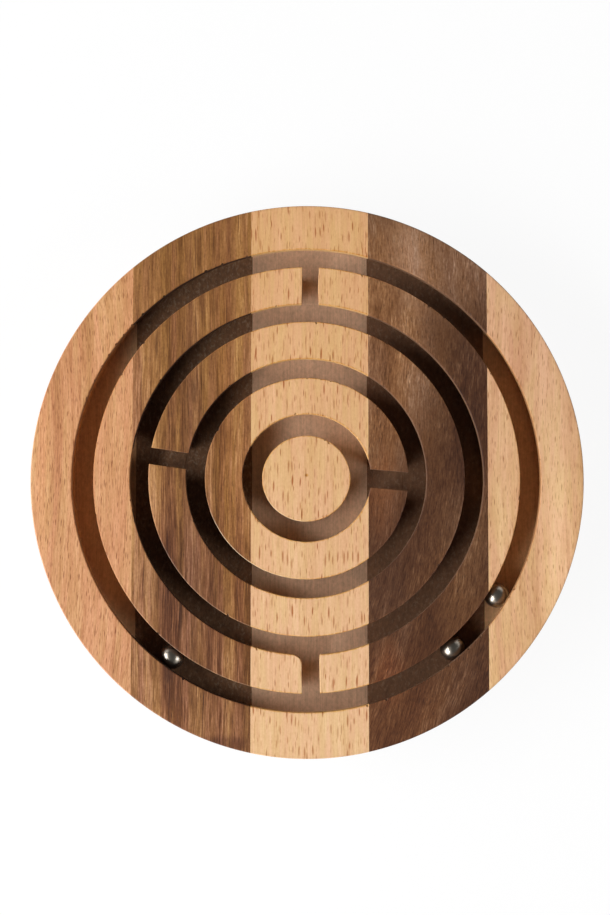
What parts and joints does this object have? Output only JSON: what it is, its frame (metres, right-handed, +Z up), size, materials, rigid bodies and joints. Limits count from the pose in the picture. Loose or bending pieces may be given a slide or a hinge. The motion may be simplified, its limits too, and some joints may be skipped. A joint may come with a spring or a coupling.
{
  "type": "tilt maze game",
  "caption": "Round hand-held wooden tilt maze: striped laminated board with undercut ring tracks joined by gates, holding captive steel balls that roll as it is tilted.",
  "frame": {"origin": "centre of the board's flat underside", "axes": "+Z up through the playing face, +Y along the staves towards the top of the picture, +X to its right"},
  "size_m": [0.13, 0.13, 0.018],
  "materials": {
    "beech_left": "oiled pinkish beech with short dark flecks along the grain",
    "walnut_left": "oiled mid-brown walnut with straight tan and purple-brown streaks",
    "beech_centre": "oiled straw-coloured beech with clear dark flecks along the grain",
    "walnut_right": "oiled dark walnut with fine sanding scratches",
    "beech_right": "oiled beech with short dark flecks and a pinkish band",
    "steel": "polished bearing steel"
  },
  "bodies": {
    "board": {"stave_left_beech": "beech_left", "stave_left_walnut": "walnut_left", "stave_centre_beech": "beech_centre", "stave_right_walnut": "walnut_right", "stave_right_beech": "beech_right"},
    "ball_1": {"ball_1": "steel"},
    "ball_2": {"ball_2": "steel"},
    "ball_3": {"ball_3": "steel"}
  },
  "joints": [
    {"name": "ball_1_roll", "type": "hinge", "parent": "board", "child": "ball_1", "pos_m": [0, 0, 0.0134], "axis": [0, 0, 1], "range_deg": [-256, 71]},
    {"name": "ball_2_roll", "type": "hinge", "parent": "board", "child": "ball_2", "pos_m": [0, 0, 0.0134], "axis": [0, 0, 1], "range_deg": [-71, 5.4]},
    {"name": "ball_3_roll", "type": "hinge", "parent": "board", "child": "ball_3", "pos_m": [0, 0, 0.0134], "axis": [0, 0, 1], "range_deg": [-5.4, 256]}
  ]
}
